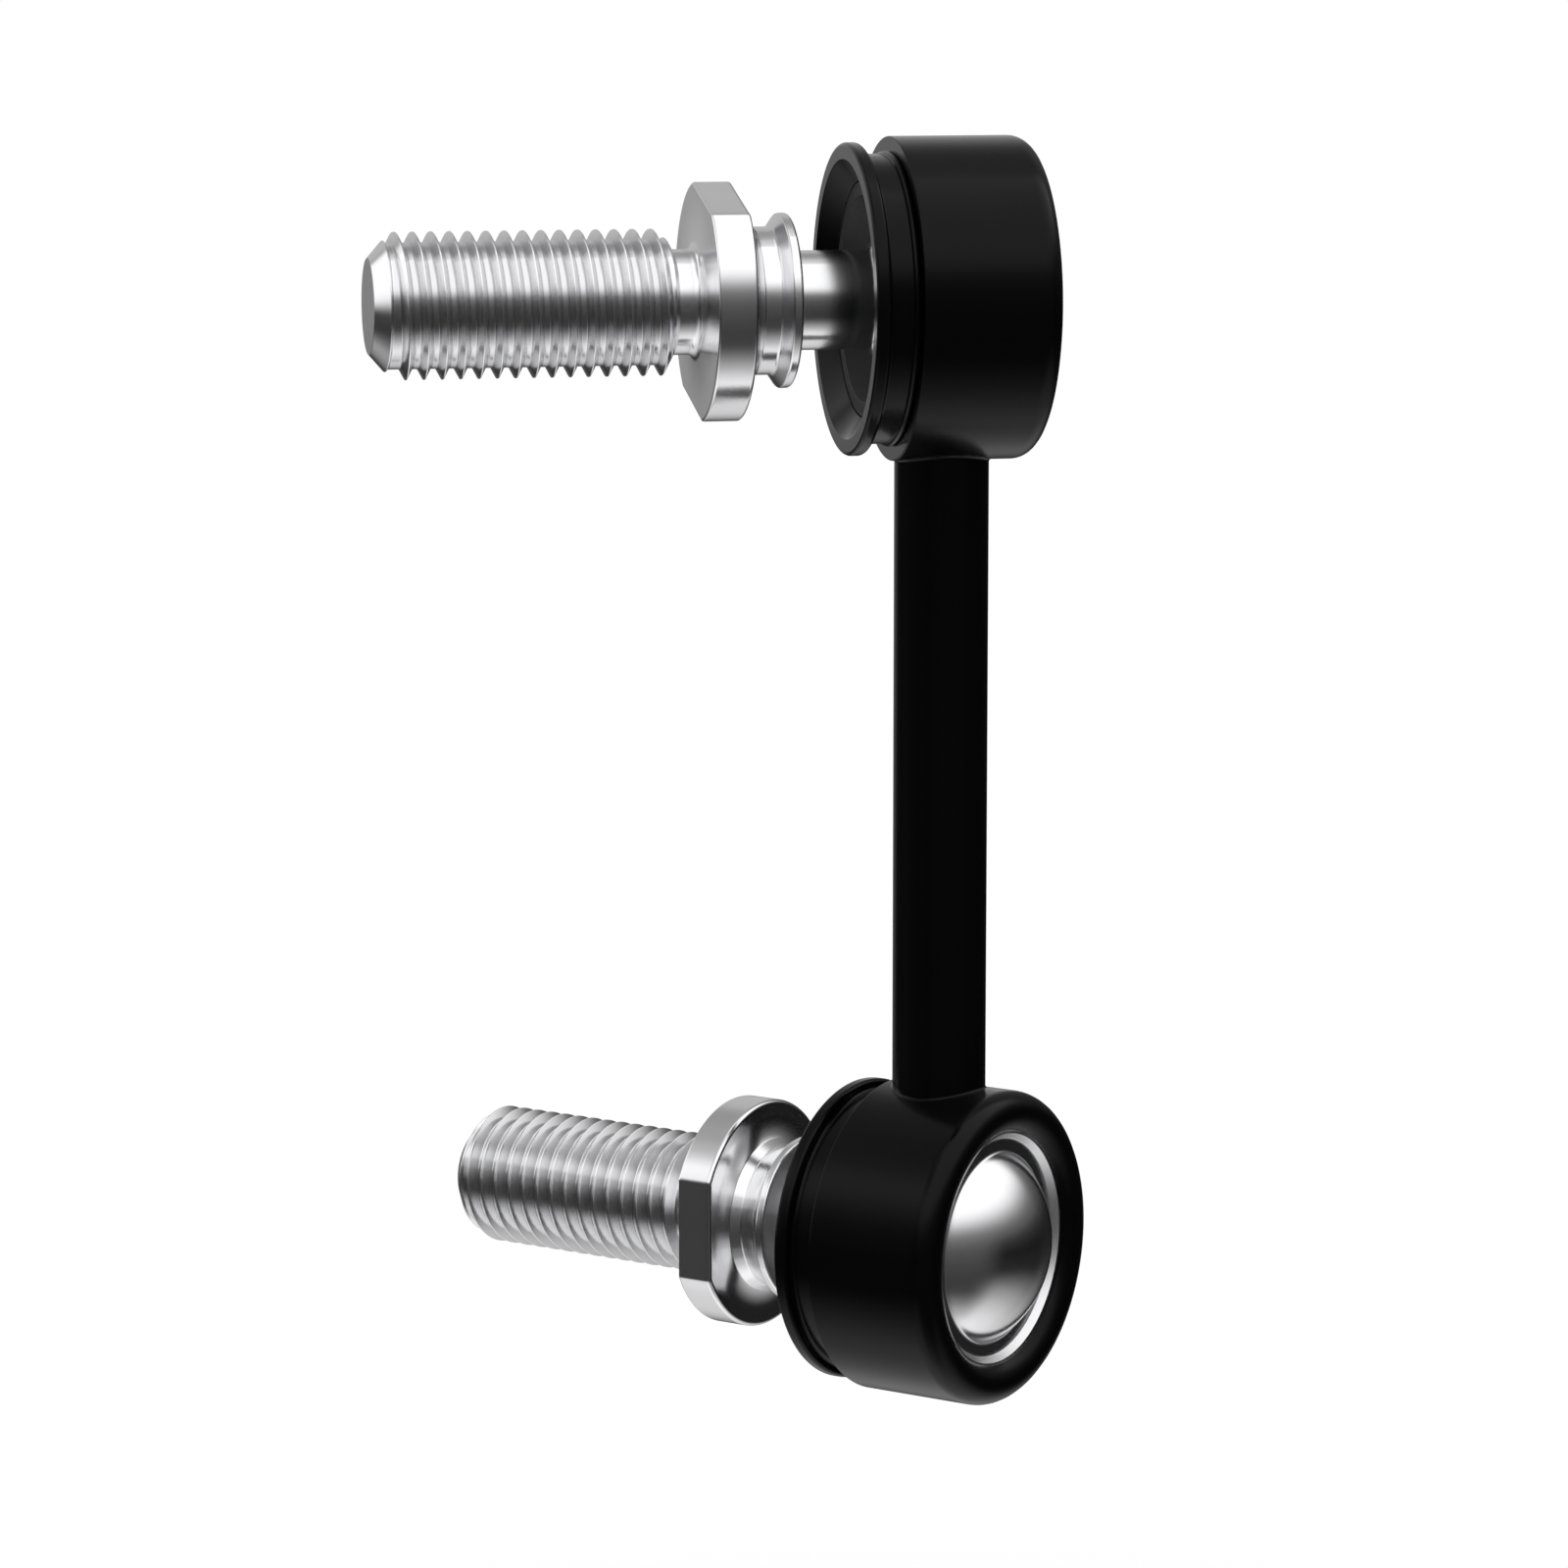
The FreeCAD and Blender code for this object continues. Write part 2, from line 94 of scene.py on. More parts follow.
towards_camera = Vector((
    math.sin(camera_side) * math.cos(camera_height),
    -math.cos(camera_side) * math.cos(camera_height),
    math.sin(camera_height),
))
camera = bpy.data.objects.new("camera", bpy.data.cameras.new("camera"))
camera.data.lens = lens_mm
camera.data.sensor_width = sensor_mm
camera.data.clip_start = nearest_seen
camera.data.clip_end = farthest_seen
camera.location = camera_aim + towards_camera * camera_distance
camera.rotation_mode = "QUATERNION"
camera.rotation_quaternion = (-towards_camera).to_track_quat("-Z", "Y")
bpy.context.scene.collection.objects.link(camera)
bpy.context.scene.camera = camera
bpy.context.scene.view_settings.view_transform = "Standard"
print("the camera stands at", [round(value / MM, 1) for value in camera.location], "mm")

# %% [markdown]
# Where the two ball joints are
#
# Both ball joints are alike, so every turned piece is drawn in one small frame: X runs along the stud from
# the ball's centre, and Z points up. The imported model's swivel joints say where each ball's centre is and
# which way its stud points, so the pieces land where the CAD put them.

# %% Read the ends from the joints
def end_matrix(end):
    """Return the place of one ball joint: X along its stud, Z up, the ball's centre at the origin."""
    swivel = next(joint for joint in frame["joints"] if joint["name"] == f"{end}_swivel")
    along = Vector(swivel["axis"]).normalized()
    up = Vector((0, 0, 1))
    across = up.cross(along)
    turn = Matrix((along, across, up)).transposed().to_4x4()
    return Matrix.Translation(Vector(swivel["pos_m"])) @ turn


ENDS = {end: end_matrix(end) for end in ("upper", "lower")}
for end, place in ENDS.items():
    print(end, "ball at", [round(value / MM, 2) for value in place.translation])

# %% [markdown]
# Outlines with rounded corners
#
# A turned piece is fully described by half of its section. Each outline is a short list of corners: how far
# along the axis, at what radius, with what rounding, and, where the next stretch is an arc, the arc's centre.
# Python's complex numbers make good flat vectors here: a product turns a point, and abs measures it. Every
# real edge has a small rounding, and that is what catches the thin line of light along it. Smooth shading
# bends the light over a whole face, so a flat stretch also gets a point close to each of its ends, unless it
# is very short: the bend then stays beside the rounding, and the rest mirrors the room as a true flat.

# %% Corners and the stretches between them
ROUND_STEP = math.radians(12)
ARC_STEP = 0.25
SUPPORT = 0.06
SHORTEST_SUPPORTED = 4 * SUPPORT
SAME_POINT = 0.00001


def corner(along, radius, rounding=0.0, about=None):
    """One corner of an outline. about is the centre of the arc that leads on to the next corner."""
    return {"at": complex(along, radius), "rounding": rounding, "about": about and complex(*about)}


def heading(start, end, about, at_end):
    """The direction in which a stretch leaves its start or reaches its end."""
    if about is None:
        return (end - start) / abs(end - start)
    turn = cmath.phase((end - about) / (start - about))
    spoke = (end if at_end else start) - about
    return spoke / abs(spoke) * 1j * math.copysign(1, turn)


def stretch(start, end, about, cut_start, cut_end):
    """Points from start to end with a length cut off at both ends."""
    if about is None:
        way = heading(start, end, None, False)
        first, last = start + way * cut_start, end - way * cut_end
        if abs(last - first) < SHORTEST_SUPPORTED:
            return [first, last]
        return [first, first + way * SUPPORT, last - way * SUPPORT, last]
    spoke = start - about
    turn = cmath.phase((end - about) / spoke)
    sign = math.copysign(1, turn)
    first = sign * cut_start / abs(spoke)
    last = turn - sign * cut_end / abs(spoke)
    steps = max(2, math.ceil(abs(last - first) * abs(spoke) / ARC_STEP))
    return [about + spoke * cmath.exp(1j * angle) for angle in np.linspace(first, last, steps + 1)]


# %% Trace a whole outline
def rounding_points(before, at, after, turn):
    """Points of the arc that leads from before to after, with the corner as its control point."""
    steps = max(2, math.ceil(turn / ROUND_STEP))
    weight = math.cos(turn / 2)
    points = []
    for step in range(1, steps):
        share = step / steps
        parts = ((1 - share) ** 2, 2 * share * (1 - share) * weight, share ** 2)
        points.append((before * parts[0] + at * parts[1] + after * parts[2]) / sum(parts))
    return points


def trace(corners, closed=False):
    """Turn a list of corners into the points of the outline."""
    count = len(corners)
    sides = count if closed else count - 1
    ends = [(corners[i]["at"], corners[(i + 1) % count]["at"], corners[i]["about"]) for i in range(sides)]
    turns, cuts = [0.0] * count, [0.0] * count
    for index, item in enumerate(corners):
        if item["rounding"] and (closed or 0 < index < count - 1):
            arriving = heading(*ends[index - 1], True)
            leaving = heading(*ends[index], False)
            turns[index] = abs(cmath.phase(leaving / arriving))
            cuts[index] = item["rounding"] * math.tan(turns[index] / 2)
    stretches = [
        stretch(start, end, about, cuts[index], cuts[(index + 1) % count])
        for index, (start, end, about) in enumerate(ends)
    ]
    points = []
    for index in range(sides):
        if cuts[index]:
            before = stretches[index - 1][-1]
            after = stretches[index][0]
            points += rounding_points(before, corners[index]["at"], after, turns[index])
        points += stretches[index]
    kept = [points[0]]
    for point in points[1:]:
        if abs(point - kept[-1]) > SAME_POINT:
            kept.append(point)
    if closed and abs(kept[0] - kept[-1]) < SAME_POINT:
        kept.pop()
    return kept


oblong = trace([corner(0, 1, 0.2), corner(2, 1, 0.2), corner(2, 2), corner(0, 2)], closed=True)
print("an oblong with two rounded corners has", len(oblong), "points")

# %% [markdown]
# From an outline to a turned piece
#
# Blender has a Screw modifier that would turn an outline too. Building the rings in code keeps every column
# of vertices at a known angle, and the studs need that: their wrench flats must end on a column, or the edge
# of the flat looks like a saw. A ring whose radius is zero becomes a single point on the axis.

# %% Rings, skins and welding
COLUMNS = 144
SHARP_ANGLE = math.radians(24)
WELD_DISTANCE = 0.0001
ON_THE_AXIS = 0.000001
even_angles = np.linspace(0, 2 * math.pi, COLUMNS, endpoint=False)


def ring_at(along, radius, angles):
    """A ring of points round the X axis: how far along it, how far off it, and at which angles."""
    along = np.broadcast_to(along, angles.shape)
    return np.stack([along, radius * np.cos(angles), radius * np.sin(angles)], 1)


def turned_rings(outline, angles=even_angles, inset=None, core=0.0):
    """One ring for each point of the outline. inset cuts it back at each angle, down to the core."""
    rings = []
    for point in outline:
        radius = np.full(len(angles), point.imag)
        if inset is not None and point.imag > core:
            radius = np.maximum(radius - inset, core)
        ring = ring_at(point.real, radius, angles)
        rings.append(ring if point.imag > ON_THE_AXIS else ring[:1])
    return rings


def skin(rings, closed=False):
    """Join rings into points and faces. A ring of one point closes the skin there."""
    starts = np.cumsum([0] + [len(ring) for ring in rings])
    faces = []
    for index in range(len(rings) if closed else len(rings) - 1):
        follower = (index + 1) % len(rings)
        here, there = len(rings[index]), len(rings[follower])
        first, second = int(starts[index]), int(starts[follower])
        for column in range(COLUMNS):
            onward = (column + 1) % COLUMNS
            face = [first + column % here, first + onward % here]
            face += [second + onward % there, second + column % there]
            faces.append(list(dict.fromkeys(face)))
    return np.concatenate(rings), faces


def weld_mesh(name, parts):
    """Make one closed mesh of several skins, in metres, smooth except along its sharp edges."""
    mesh = bpy.data.meshes.new(name)
    points, faces = [], []
    for part_points, part_faces in parts:
        faces += [[index + len(points) for index in face] for face in part_faces]
        points += part_points.tolist()
    mesh.from_pydata(points, [], faces)
    work = bmesh.new()
    work.from_mesh(mesh)
    bmesh.ops.remove_doubles(work, verts=work.verts, dist=WELD_DISTANCE)
    bmesh.ops.recalc_face_normals(work, faces=work.faces)
    bmesh.ops.scale(work, vec=(MM, MM, MM), verts=work.verts)
    open_edges = sum(1 for edge in work.edges if not edge.is_manifold)
    work.to_mesh(mesh)
    work.free()
    mesh.shade_smooth()
    mesh.set_sharp_from_angle(angle=SHARP_ANGLE)
    print(name, "has", len(mesh.vertices), "points and", open_edges, "open edges")
    return mesh


def add_piece(name, mesh, place, body, material, node):
    """Put a copy of a mesh at its place, instead of a CAD node, riding on that node's body."""
    placed = mesh.copy()
    placed.transform(place)
    placed.materials.append(material)
    piece = bpy.data.objects.new(name, placed)
    bpy.context.scene.collection.objects.link(piece)
    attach(piece, body)
    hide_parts(node)
    return piece


# %% [markdown]
# Shader maths as Python
#
# A finish is a recipe of nodes. Written as plain expressions, a recipe reads like arithmetic: the class below
# wraps a socket, and each operator on it adds one Math node. Every other node comes from one method, which
# sets the node's own settings first and then fills its sockets with values or links.

# %% The socket class and the recipe
class Value:
    """A socket that takes part in Python expressions."""

    def __init__(self, recipe, socket):
        self.recipe = recipe
        self.socket = socket

    def maths(self, operation, first, second):
        """Add the Math node of one operator."""
        return self.recipe.node("ShaderNodeMath", {"operation": operation}, {0: first, 1: second})

    def __add__(self, other):
        return self.maths("ADD", self, other)

    def __sub__(self, other):
        return self.maths("SUBTRACT", self, other)

    def __rsub__(self, other):
        return self.maths("SUBTRACT", other, self)

    def __mul__(self, other):
        return self.maths("MULTIPLY", self, other)

    __radd__ = __add__
    __rmul__ = __mul__


class Recipe:
    """The nodes of one material, or of the world."""

    def __init__(self, tree):
        self.tree = tree
        self.tree.nodes.clear()

    def node(self, kind, settings=None, inputs=None, output=0):
        """Add a node of any type with its settings and its sockets' values or links, and return an output."""
        made = self.tree.nodes.new(kind)
        for name, value in (settings or {}).items():
            if name == "stops":
                self.set_stops(made.color_ramp, value)
            else:
                setattr(made, name, value)
        for name, value in (inputs or {}).items():
            if isinstance(value, Value):
                self.tree.links.new(value.socket, made.inputs[name])
            else:
                made.inputs[name].default_value = value
        return Value(self, made.outputs[output]) if len(made.outputs) else None

    @staticmethod
    def set_stops(ramp, stops):
        """Give a ramp its grey stops, with a smooth curve through them."""
        ramp.interpolation = "CARDINAL"
        while len(ramp.elements) < len(stops):
            ramp.elements.new(1.0)
        for element, (position, level) in zip(ramp.elements, stops):
            element.position = position
            element.color = (level, level, level, 1.0)


def new_material(name):
    """Start a material with an empty recipe."""
    material = bpy.data.materials.new(name)
    material.use_nodes = True
    return material, Recipe(material.node_tree)


# %% [markdown]
# Black coating
#
# The rod and the housings wear a thin black dip coating. It is satin: almost black head on, with a soft sheen
# that grows towards the edges of each round surface. A low index of refraction gives just that, and a clear
# layer over it adds a second, sharper sheen. Close up, such a coating has a faint orange peel and a slightly
# uneven gloss, so one noise drives a very shallow bump and two others move the roughness a little.

# %% Mix the black coating
coating_dark, coating_pale = (0.0010, 0.0010, 0.0011), (0.0018, 0.0018, 0.0020)
coating_roughness, clear_layer_roughness = 0.18, 0.16
coating_index = 1.15
peel_strength, peel_depth = 0.25, 0.004
# The Mix node has sockets for numbers and vectors too. These are the ones that mix colours.
MIX_FACTOR, MIX_FIRST, MIX_SECOND, MIX_RESULT = 0, 6, 7, 2


def noise(recipe, place, cells_per_mm, detail=2.0):
    """A noise between 0 and 1 with so many cells to a millimetre."""
    return recipe.node(
        "ShaderNodeTexNoise", {"noise_dimensions": "3D"},
        {"Vector": place, "Scale": cells_per_mm / MM, "Detail": detail},
    )


def with_alpha(colour):
    """Give a written colour its alpha, and pass a link on as it is."""
    return colour if isinstance(colour, Value) else (*colour, 1)


def blend_colours(recipe, factor, first, second):
    """Mix two colours, written or linked, by a factor."""
    inputs = {MIX_FACTOR: factor, MIX_FIRST: with_alpha(first), MIX_SECOND: with_alpha(second)}
    return recipe.node("ShaderNodeMix", {"data_type": "RGBA"}, inputs, output=MIX_RESULT)


def shallow_bump(recipe, height, strength, depth):
    """A bump for the shader's normal, with its depth in millimetres."""
    inputs = {"Strength": strength, "Distance": depth * MM, "Height": height}
    return recipe.node("ShaderNodeBump", {}, inputs)


def finish_surface(recipe, inputs):
    """Add the surface shader and the output."""
    surface = recipe.node("ShaderNodeBsdfPrincipled", {}, inputs)
    recipe.node("ShaderNodeOutputMaterial", {}, {"Surface": surface})


def make_black_coating():
    """Near-black paint under a clear layer."""
    material, recipe = new_material("black_coating")
    place = recipe.node("ShaderNodeTexCoord", output="Object")
    clouds = noise(recipe, place, cells_per_mm=0.12)
    peel = noise(recipe, place, cells_per_mm=1.6, detail=3.0)
    dust = noise(recipe, place, cells_per_mm=9.0)
    finish_surface(recipe, {
        "Base Color": blend_colours(recipe, clouds, coating_dark, coating_pale),
        "Roughness": coating_roughness + clouds * 0.05 + dust * 0.03,
        "IOR": coating_index,
        "Normal": shallow_bump(recipe, peel, peel_strength, peel_depth),
        "Coat Weight": 1.0,
        "Coat Roughness": clear_layer_roughness,
        "Coat IOR": coating_index,
    })
    return material


black_coating = make_black_coating()
print(black_coating.name, "has", len(black_coating.node_tree.nodes), "nodes")

# %% [markdown]
# Bright steel
#
# The studs and the cover plates are plated steel. What the eye sees on them is the room, so the shader is a
# plain metal and the care goes into its roughness. A lathe leaves rings: the marks change quickly along the
# axis and along the radius, and hardly at all round the piece. The recipe therefore squeezes the noise's
# coordinates along those two directions before it looks them up. The two studs point different ways, so each
# end has a steel of its own, which measures along its own stud. The stations below say where the finish
# changes: in the thread's valleys, which are greyed with grime and painted shade, on the sawn end, on the
# rough face that the boot flange turns to the housing, and on the pressed wall and rim of the cover plate.

# %% Stations of the steel, and coordinates along a stud
flange_front = 13.08
lead_end, thread_to, nose_end = 23.65, 46.05, 47.56
thread_radius, root_radius = 5.98, 5.1
plate_floor, plate_rim_radius = -5.55, 9.7


def dot_product(recipe, first, second):
    """How far one vector reaches along another."""
    settings = {"operation": "DOT_PRODUCT"}
    return recipe.node("ShaderNodeVectorMath", settings, {0: first, 1: second}, output="Value")


def turned_coordinates(recipe, end):
    """The place in one ball joint's own frame, its three parts, and how far off the stud's axis it is."""
    point = recipe.node("ShaderNodeTexCoord", output="Object")
    settings = {"operation": "SUBTRACT"}
    offset = recipe.node("ShaderNodeVectorMath", settings, {0: point, 1: ENDS[end].translation})
    parts = [dot_product(recipe, offset, axis) for axis in ENDS[end].to_3x3().col]
    place = recipe.node("ShaderNodeCombineXYZ", {}, dict(enumerate(parts)))
    flat = recipe.node("ShaderNodeVectorMath", {"operation": "MULTIPLY"}, {0: place, 1: (0, 1, 1)})
    radius = recipe.node("ShaderNodeVectorMath", {"operation": "LENGTH"}, {0: flat}, output="Value")
    return place, parts, radius


def soft_step(recipe, value, low, high):
    """Rise smoothly from 0 at low to 1 at high, or fall where high is the smaller one."""
    settings = {"interpolation_type": "SMOOTHSTEP"}
    return recipe.node("ShaderNodeMapRange", settings, {"Value": value, "From Min": low, "From Max": high})


def beyond(recipe, value, station, softness):
    """1 beyond a station and 0 before it, with a soft change between, all in millimetres."""
    return soft_step(recipe, value, (station - softness / 2) * MM, (station + softness / 2) * MM)


print("the thread runs from", lead_end, "to", thread_to, "mm along each stud")

# %% Mix the bright steel
RING_MARKS_PER_MM, ROUND_MARKS_PER_MM = 14.0, 0.15
# The grime colour also paints the shade of the thread's deep valleys.
steel_dark, steel_pale, steel_grime_and_shade = (0.80, 0.80, 0.815), (0.86, 0.86, 0.87), (0.45, 0.45, 0.46)
valley_grime_and_shade, end_grime = 0.3, 0.8
steel_roughness, cut_roughness, boot_face_roughness = 0.16, 0.18, 0.3
mark_strength, mark_depth = 0.03, 0.002


def lathe_marks(recipe, along, radius, side):
    """A noise drawn out into rings round the stud's axis."""
    rings = recipe.node("ShaderNodeCombineXYZ", {}, {
        "X": along * (RING_MARKS_PER_MM / MM),
        "Y": radius * (RING_MARKS_PER_MM / MM),
        "Z": side * (ROUND_MARKS_PER_MM / MM),
    })
    return recipe.node("ShaderNodeTexNoise", {"noise_dimensions": "3D"}, {"Vector": rings, "Scale": 1.0})


def make_bright_steel(end):
    """Plated steel with lathe marks, rougher where it is sawn or pressed, with grime and painted shade in the
    thread's valleys.
    """
    material, recipe = new_material(f"bright_steel_{end}")
    place, parts, radius = turned_coordinates(recipe, end)
    along, side = parts[:2]
    marks = lathe_marks(recipe, along, radius, side)
    clouds = noise(recipe, place, cells_per_mm=0.25)
    grains = noise(recipe, place, cells_per_mm=6.0)
    thread = beyond(recipe, along, lead_end - 0.2, softness=0.5)
    thread *= 1 - beyond(recipe, along, thread_to, softness=0.2)
    valley = soft_step(recipe, radius, (thread_radius - 0.1) * MM, root_radius * MM)
    sawn_end = beyond(recipe, along, nose_end - 0.04, softness=0.04)
    boot_face = beyond(recipe, along, flange_front - 0.13, softness=0.1)
    boot_face *= 1 - beyond(recipe, along, flange_front + 0.07, softness=0.1)
    pressed = 1 - beyond(recipe, along, plate_floor + 0.45, softness=0.2)
    pressed *= beyond(recipe, radius, plate_rim_radius - 0.6, softness=0.2)
    clean = blend_colours(recipe, clouds, steel_dark, steel_pale)
    # Grime on the sawn end; grime and painted shade in the thread's valleys.
    grime_and_valley_shade = thread * valley * valley_grime_and_shade + sawn_end * end_grime
    roughness = steel_roughness + marks * 0.03 + grains * 0.02
    roughness += (sawn_end + pressed) * cut_roughness
    roughness += boot_face * boot_face_roughness
    finish_surface(recipe, {
        "Base Color": blend_colours(recipe, grime_and_valley_shade, clean, steel_grime_and_shade),
        "Metallic": 1.0,
        "Roughness": roughness,
        "Normal": shallow_bump(recipe, marks + grains * 0.3, mark_strength, mark_depth),
    })
    return material


bright_steel = {end: make_bright_steel(end) for end in ENDS}
for material in bright_steel.values():
    print(material.name, "has", len(material.node_tree.nodes), "nodes")

# %% [markdown]
# Seat plastic
#
# The ball turns in a black plastic seat. Only its front ring shows, deep in the mouth of the housing. It is
# duller than the coating, with the very fine grain that a mould leaves. Two noises are enough for so small a
# sight of it: a fine one drives the grain and the roughness, and a wide one moves the colour.

# %% Mix the seat plastic
plastic_dark, plastic_pale = (0.010, 0.010, 0.0105), (0.016, 0.016, 0.0165)
plastic_roughness, plastic_gloss = 0.42, 0.35
grain_strength, grain_depth = 0.3, 0.004


def make_seat_plastic():
    """Dull black plastic with a fine grain."""
    material, recipe = new_material("seat_plastic")
    place = recipe.node("ShaderNodeTexCoord", output="Object")
    grain = noise(recipe, place, cells_per_mm=5.0, detail=4.0)
    clouds = noise(recipe, place, cells_per_mm=0.3)
    finish_surface(recipe, {
        "Base Color": blend_colours(recipe, clouds, plastic_dark, plastic_pale),
        "Roughness": plastic_roughness + grain * 0.12,
        "Specular IOR Level": plastic_gloss,
        "Normal": shallow_bump(recipe, grain, grain_strength, grain_depth),
    })
    return material


seat_plastic = make_seat_plastic()
print(seat_plastic.name, "has", len(seat_plastic.node_tree.nodes), "nodes")

# %% [markdown]
# The housings
#
# Each housing is a forged ring. In front it has a flared mouth, an outer lip and a groove for a rubber boot,
# then a flat flange. Behind, its rim is rolled inwards over the cover plate. One closed outline holds all of
# that. It is turned once, and each end gets a copy of the mesh at its own place.

# %% Turn the housings
housing_radius = 13.3
flange_place = 4.5
lip_back, lip_face = 7.1, 8.3
lip_radius, groove_radius, mouth_radius = 12.82, 11.87, 11.44
throat_place, throat_radius = 6.8, 9.72
shoulder_place, bore_radius = 4.6, 10.4
ledge_place, pocket_radius = -4.5, 11.0
pocket_end, rim_crown, rim_drop = -6.2, -7.2, 0.8
opening_radius, rim_corner = 9.86, 1.7
bead_length, bead_height = 0.6, 0.25
# The rim's rounding is this much smaller than its room, so that it ends just before the next corner.
HAIR = 0.001


def arc_radius(span, depth):
    """Radius of the arc that leaves a line at a tangent and sinks by depth over the span."""
    return (span ** 2 + depth ** 2) / (2 * depth)


def make_housing_mesh():
    """The housing, from its mouth over the outside to the rolled rim and back through the bore."""
    crown_radius = housing_radius - rim_corner
    roll = arc_radius(crown_radius - opening_radius, rim_drop)
    bead_middle = flange_place + bead_length / 2
    bead_centre = groove_radius + bead_height - arc_radius(bead_length / 2, bead_height)
    outline = trace([
        corner(lip_face, mouth_radius, 0.12),
        corner(lip_face, lip_radius, 0.33),
        corner(lip_back, lip_radius, 0.35),
        corner(lip_back, groove_radius, 0.35),
        corner(flange_place + bead_length, groove_radius, about=(bead_middle, bead_centre)),
        corner(flange_place, groove_radius),
        corner(flange_place, housing_radius, 0.1),
        corner(rim_crown, housing_radius, rim_corner - HAIR),
        corner(rim_crown, crown_radius, about=(rim_crown + roll, crown_radius)),
        corner(rim_crown + rim_drop, opening_radius, 0.06),
        corner(pocket_end, opening_radius),
        corner(pocket_end, pocket_radius),
        corner(ledge_place, pocket_radius),
        corner(ledge_place, bore_radius),
        corner(shoulder_place, bore_radius),
        corner(shoulder_place, throat_radius),
        corner(throat_place, throat_radius, 0.08),
    ], closed=True)
    return weld_mesh("housing", [skin(turned_rings(outline), closed=True)])


housing_mesh = make_housing_mesh()
for end, place in ENDS.items():
    add_piece(
        f"{end}_housing_ring", housing_mesh, place, "link", black_coating, f"{end}_housing",
    )

# %% [markdown]
# The cover plates
#
# A pressed steel plate closes the back of each housing. Its middle is domed over the ball. Round the dome
# come a small fillet, a narrow flat floor, a short wall that leans outwards a little, as a press leaves it,
# and a thick rim under the rolled edge of the housing. A sphere cut by a plane would make the dome alone, but
# one turned outline gives all of it, with a point every quarter of a millimetre along the arcs, so that the
# dome mirrors the room without a kink.

# %% Press the cover plates
plate_seat, plate_rim_top = -4.55, -6.15
plate_radius, dome_foot_radius, wall_lean = 10.95, 8.1, 0.45
dome_top, plate_thickness = -9.55, 1.0
dome_radius = arc_radius(dome_foot_radius, plate_floor - dome_top)
dome_centre = dome_top + dome_radius


def make_plate_mesh():
    """The cover plate, from the top of its dome over the rim to the inside of the dome."""
    inner_radius = dome_radius - plate_thickness
    inner_foot = math.sqrt(inner_radius ** 2 - (plate_seat - dome_centre) ** 2)
    outline = trace([
        corner(dome_top, 0, about=(dome_centre, 0)),
        corner(plate_floor, dome_foot_radius, 0.4),
        corner(plate_floor, plate_rim_radius - wall_lean, 0.2),
        corner(plate_rim_top, plate_rim_radius, 0.06),
        corner(plate_rim_top, plate_radius, 0.15),
        corner(plate_seat, plate_radius, 0.15),
        corner(plate_seat, inner_foot, about=(dome_centre, 0)),
        corner(dome_top + plate_thickness, 0),
    ])
    return weld_mesh("cover_plate", [skin(turned_rings(outline))])


plate_mesh = make_plate_mesh()
for end, place in ENDS.items():
    steel = bright_steel[end]
    add_piece(
        f"{end}_domed_plate", plate_mesh, place, "link", steel, f"{end}_cover_plate",
    )

# %% [markdown]
# The ball seats
#
# The seat holds the ball all round. In the mouth it shows a narrow flat ring, and inside that a dish that
# slopes down to the ball and lets the stud tilt. It is turned as well. Its outline starts and ends on the
# axis: its back follows the cover plate's dome, and its cavity is an arc about the ball's centre.

# %% Mould the ball seats
cavity_radius, seat_radius = 7.55, 10.35
seat_face, seat_ring_width, neck_ring_radius = 6.77, 1.21, 9.67
seat_shoulder, seat_back = 4.55, -8.5
dish_angle = math.radians(62)


def make_seat_mesh():
    """The ball seat, from the middle of its back over the front ring into the cavity."""
    back_radius = dome_centre - seat_back
    back_edge = math.sqrt(back_radius ** 2 - (ledge_place - dome_centre) ** 2)
    outline = trace([
        corner(seat_back, 0, about=(dome_centre, 0)),
        corner(ledge_place, back_edge),
        corner(ledge_place, seat_radius, 0.2),
        corner(seat_shoulder, seat_radius, 0.1),
        corner(seat_shoulder, neck_ring_radius),
        corner(seat_face, neck_ring_radius, 0.1),
        corner(seat_face, neck_ring_radius - seat_ring_width, 0.12),
        corner(cavity_radius * math.cos(dish_angle), cavity_radius * math.sin(dish_angle), about=(0, 0)),
        corner(-cavity_radius, 0),
    ])
    return weld_mesh("ball_seat", [skin(turned_rings(outline))])


seat_mesh = make_seat_mesh()
for end, place in ENDS.items():
    add_piece(
        f"{end}_seat_cup", seat_mesh, place, f"{end}_seat", seat_plastic, f"{end}_ball_seat",
    )

# %% [markdown]
# The thread
#
# The studs carry a right-hand M12 thread with a pitch of 1.5 mm. A normal map could fake it, but the teeth
# show in the outline of the stud, so they are real geometry. The trick is to shear the grid: each row of
# points climbs by one pitch as it goes once round, so it stays on one line of the tooth, and its end meets
# the row that starts one pitch further on. Rows that run past either end of the thread are pressed flat
# against that end and welded there.

# %% Cut the thread
pitch = 1.5
relief_radius = 4.3
thread_from, last_crest = 22.72, 45.45
crest_width, root_width = 0.09, 0.46
crest_place, crest_runout, end_bevel = 44.975, 0.165, 0.2
ROW_STEP = 0.16


def subdivide(points, step):
    """Add points so that none is further than the step from the next."""
    fine = [points[0]]
    for before, after in zip(points, points[1:]):
        count = max(1, math.ceil(abs(after - before) / step))
        fine += [before + (after - before) * part / count for part in range(1, count + 1)]
    return fine


